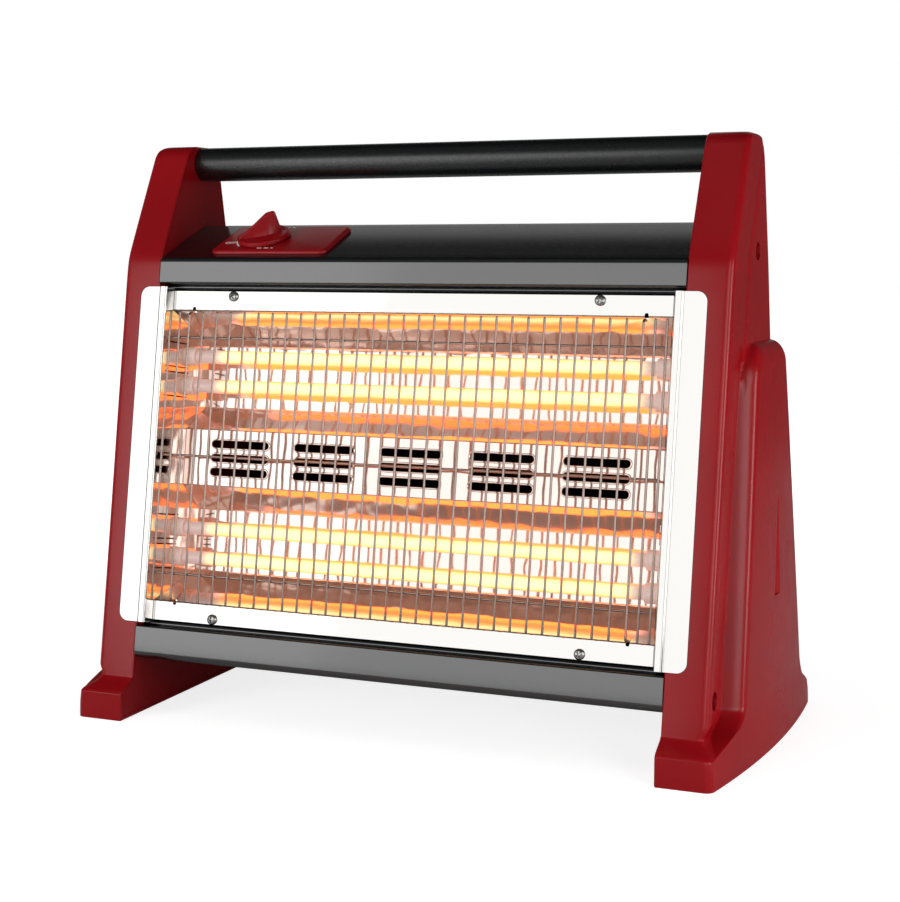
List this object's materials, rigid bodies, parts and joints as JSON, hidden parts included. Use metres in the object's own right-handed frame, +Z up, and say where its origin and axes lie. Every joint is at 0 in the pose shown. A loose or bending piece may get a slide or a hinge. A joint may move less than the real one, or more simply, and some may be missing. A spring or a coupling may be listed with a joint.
{
  "type": "electric bar heater",
  "caption": "Free-standing electric bar heater: quartz tubes in a polished reflector behind a wire guard, red moulded end frames with feet, black carrying bar and rotary knob.",
  "frame": {"origin": "on the floor, under the middle of the overall box", "axes": "+X along the tubes to the heater's left-hand end as it faces out, seen on the right in the front view; +Y to the back; +Z up"},
  "size_m": [0.5142, 0.248, 0.421],
  "materials": {
    "red_moulding": "gloss red moulding",
    "black_paint": "gloss black paint on sheet steel",
    "polished_sheet": "bright polished stainless sheet",
    "guard_wire": "nickel-plated wire",
    "quartz": "clear fused quartz",
    "heating_wire": "glowing resistance wire",
    "ceramic": "unglazed steatite",
    "plated_steel": "zinc-plated steel",
    "dark_screw": "blackened steel",
    "brass": "plain brass strip",
    "black_plastic": "moulded black plastic",
    "pale_plastic": "moulded pale plastic"
  },
  "bodies": {
    "heater": {"left_end_shell": "red_moulding", "right_end_shell": "red_moulding", "left_end_cover": "red_moulding", "right_end_cover": "red_moulding", "control_plate": "red_moulding", "cowl": "black_paint", "base_tray": "black_paint", "rear_panel": "black_paint", "handle_bar": "black_paint", "main_reflector": "polished_sheet", "left_side_reflector": "polished_sheet", "right_side_reflector": "polished_sheet", "wire_guard": "guard_wire", "quartz_tube_1": "quartz", "quartz_tube_2": "quartz", "quartz_tube_3": "quartz", "quartz_tube_4": "quartz", "heating_coil_1": "heating_wire", "heating_coil_2": "heating_wire", "heating_coil_3": "heating_wire", "heating_coil_4": "heating_wire", "left_end_caps": "ceramic", "right_end_caps": "ceramic", "thermal_cutout": "ceramic", "terminal_studs": "plated_steel", "terminal_nuts": "plated_steel", "switch_nut": "plated_steel", "bezel_screws": "plated_steel", "handle_screws": "plated_steel", "end_screws": "dark_screw", "rear_screws": "dark_screw", "terminal_links": "brass", "rotary_switch": "black_plastic", "tilt_switch_frame": "black_plastic", "cord_inlet_bush": "black_plastic", "handle_plugs": "black_plastic", "terminal_block": "pale_plastic"},
    "knob": {"control_knob": "red_moulding", "switch_shaft": "plated_steel"},
    "tilt_weight": {"tilt_pendulum": "plated_steel"}
  },
  "joints": [
    {"name": "knob_turn", "type": "hinge", "parent": "heater", "child": "knob", "pos_m": [-0.1286, -0.02613, 0.34776], "axis": [0, -0.3616, 0.9323], "range_deg": [0, 190]},
    {"name": "tilt_swing", "type": "hinge", "parent": "heater", "child": "tilt_weight", "pos_m": [0.12, 0.02, 0.096], "axis": [1, 0, 0], "range_deg": [-20, 20]}
  ]
}
